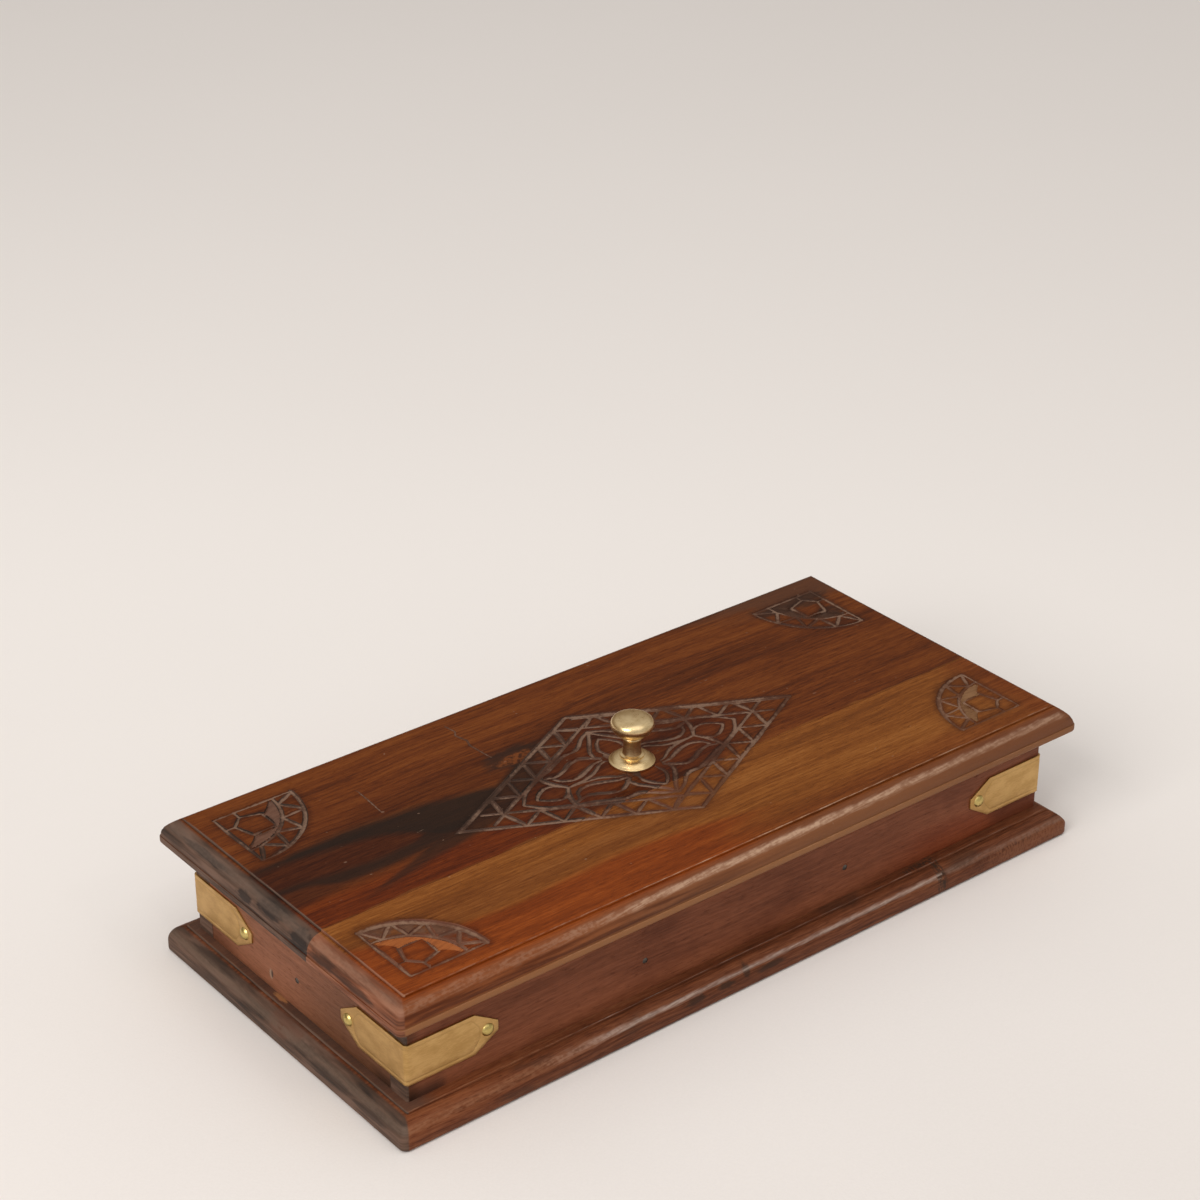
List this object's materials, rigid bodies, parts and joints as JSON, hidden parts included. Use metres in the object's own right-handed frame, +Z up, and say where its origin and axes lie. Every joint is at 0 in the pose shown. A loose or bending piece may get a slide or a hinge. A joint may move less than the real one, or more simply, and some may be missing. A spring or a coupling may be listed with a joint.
{
  "type": "storage box",
  "caption": "Low wooden storage box with a moulded base, a carved hinged lid with a brass knob, brass corner straps and divided compartments inside.",
  "frame": {"origin": "centre of the base's underside", "axes": "+X along the front from left to right, +Y from front to rear, +Z up"},
  "size_m": [0.355, 0.169, 0.086],
  "materials": {
    "red_wood": "waxed red-brown hardwood",
    "golden_wood": "waxed golden-brown hardwood",
    "dark_wood": "waxed dark-brown hardwood with scuffs",
    "divider_wood": "plain planed hardwood",
    "polished_brass": "polished",
    "satin_brass": "satin sheet",
    "dull_steel": "dull, lightly browned"
  },
  "bodies": {
    "case": {"base_rear_board": "dark_wood", "base_front_left_board": "dark_wood", "base_front_right_board": "red_wood", "front_wall": "red_wood", "rear_wall": "red_wood", "left_wall": "red_wood", "right_wall": "red_wood", "long_divider": "divider_wood", "left_cross_divider": "divider_wood", "right_cross_divider": "divider_wood", "front_left_corner_strap": "satin_brass", "front_right_corner_strap": "satin_brass", "rear_right_corner_strap": "satin_brass", "rear_left_corner_strap": "satin_brass", "left_hinge_case_leaf": "satin_brass", "left_hinge_pin": "dull_steel", "right_hinge_case_leaf": "satin_brass", "right_hinge_pin": "dull_steel", "corner_strap_nails": "polished_brass", "wall_nails": "dull_steel", "divider_nails": "dull_steel", "base_screws": "dull_steel", "hinge_case_screws": "satin_brass"},
    "lid": {"lid_rear_board": "red_wood", "lid_front_board": "golden_wood", "knob": "polished_brass", "knob_screw": "dull_steel", "left_hinge_lid_leaf": "satin_brass", "right_hinge_lid_leaf": "satin_brass", "hinge_lid_screws": "satin_brass"}
  },
  "joints": [
    {"name": "lid_hinge", "type": "hinge", "parent": "case", "child": "lid", "pos_m": [0, 0.07625, 0.0521], "axis": [-1, 0, 0], "range_deg": [0, 110]}
  ]
}
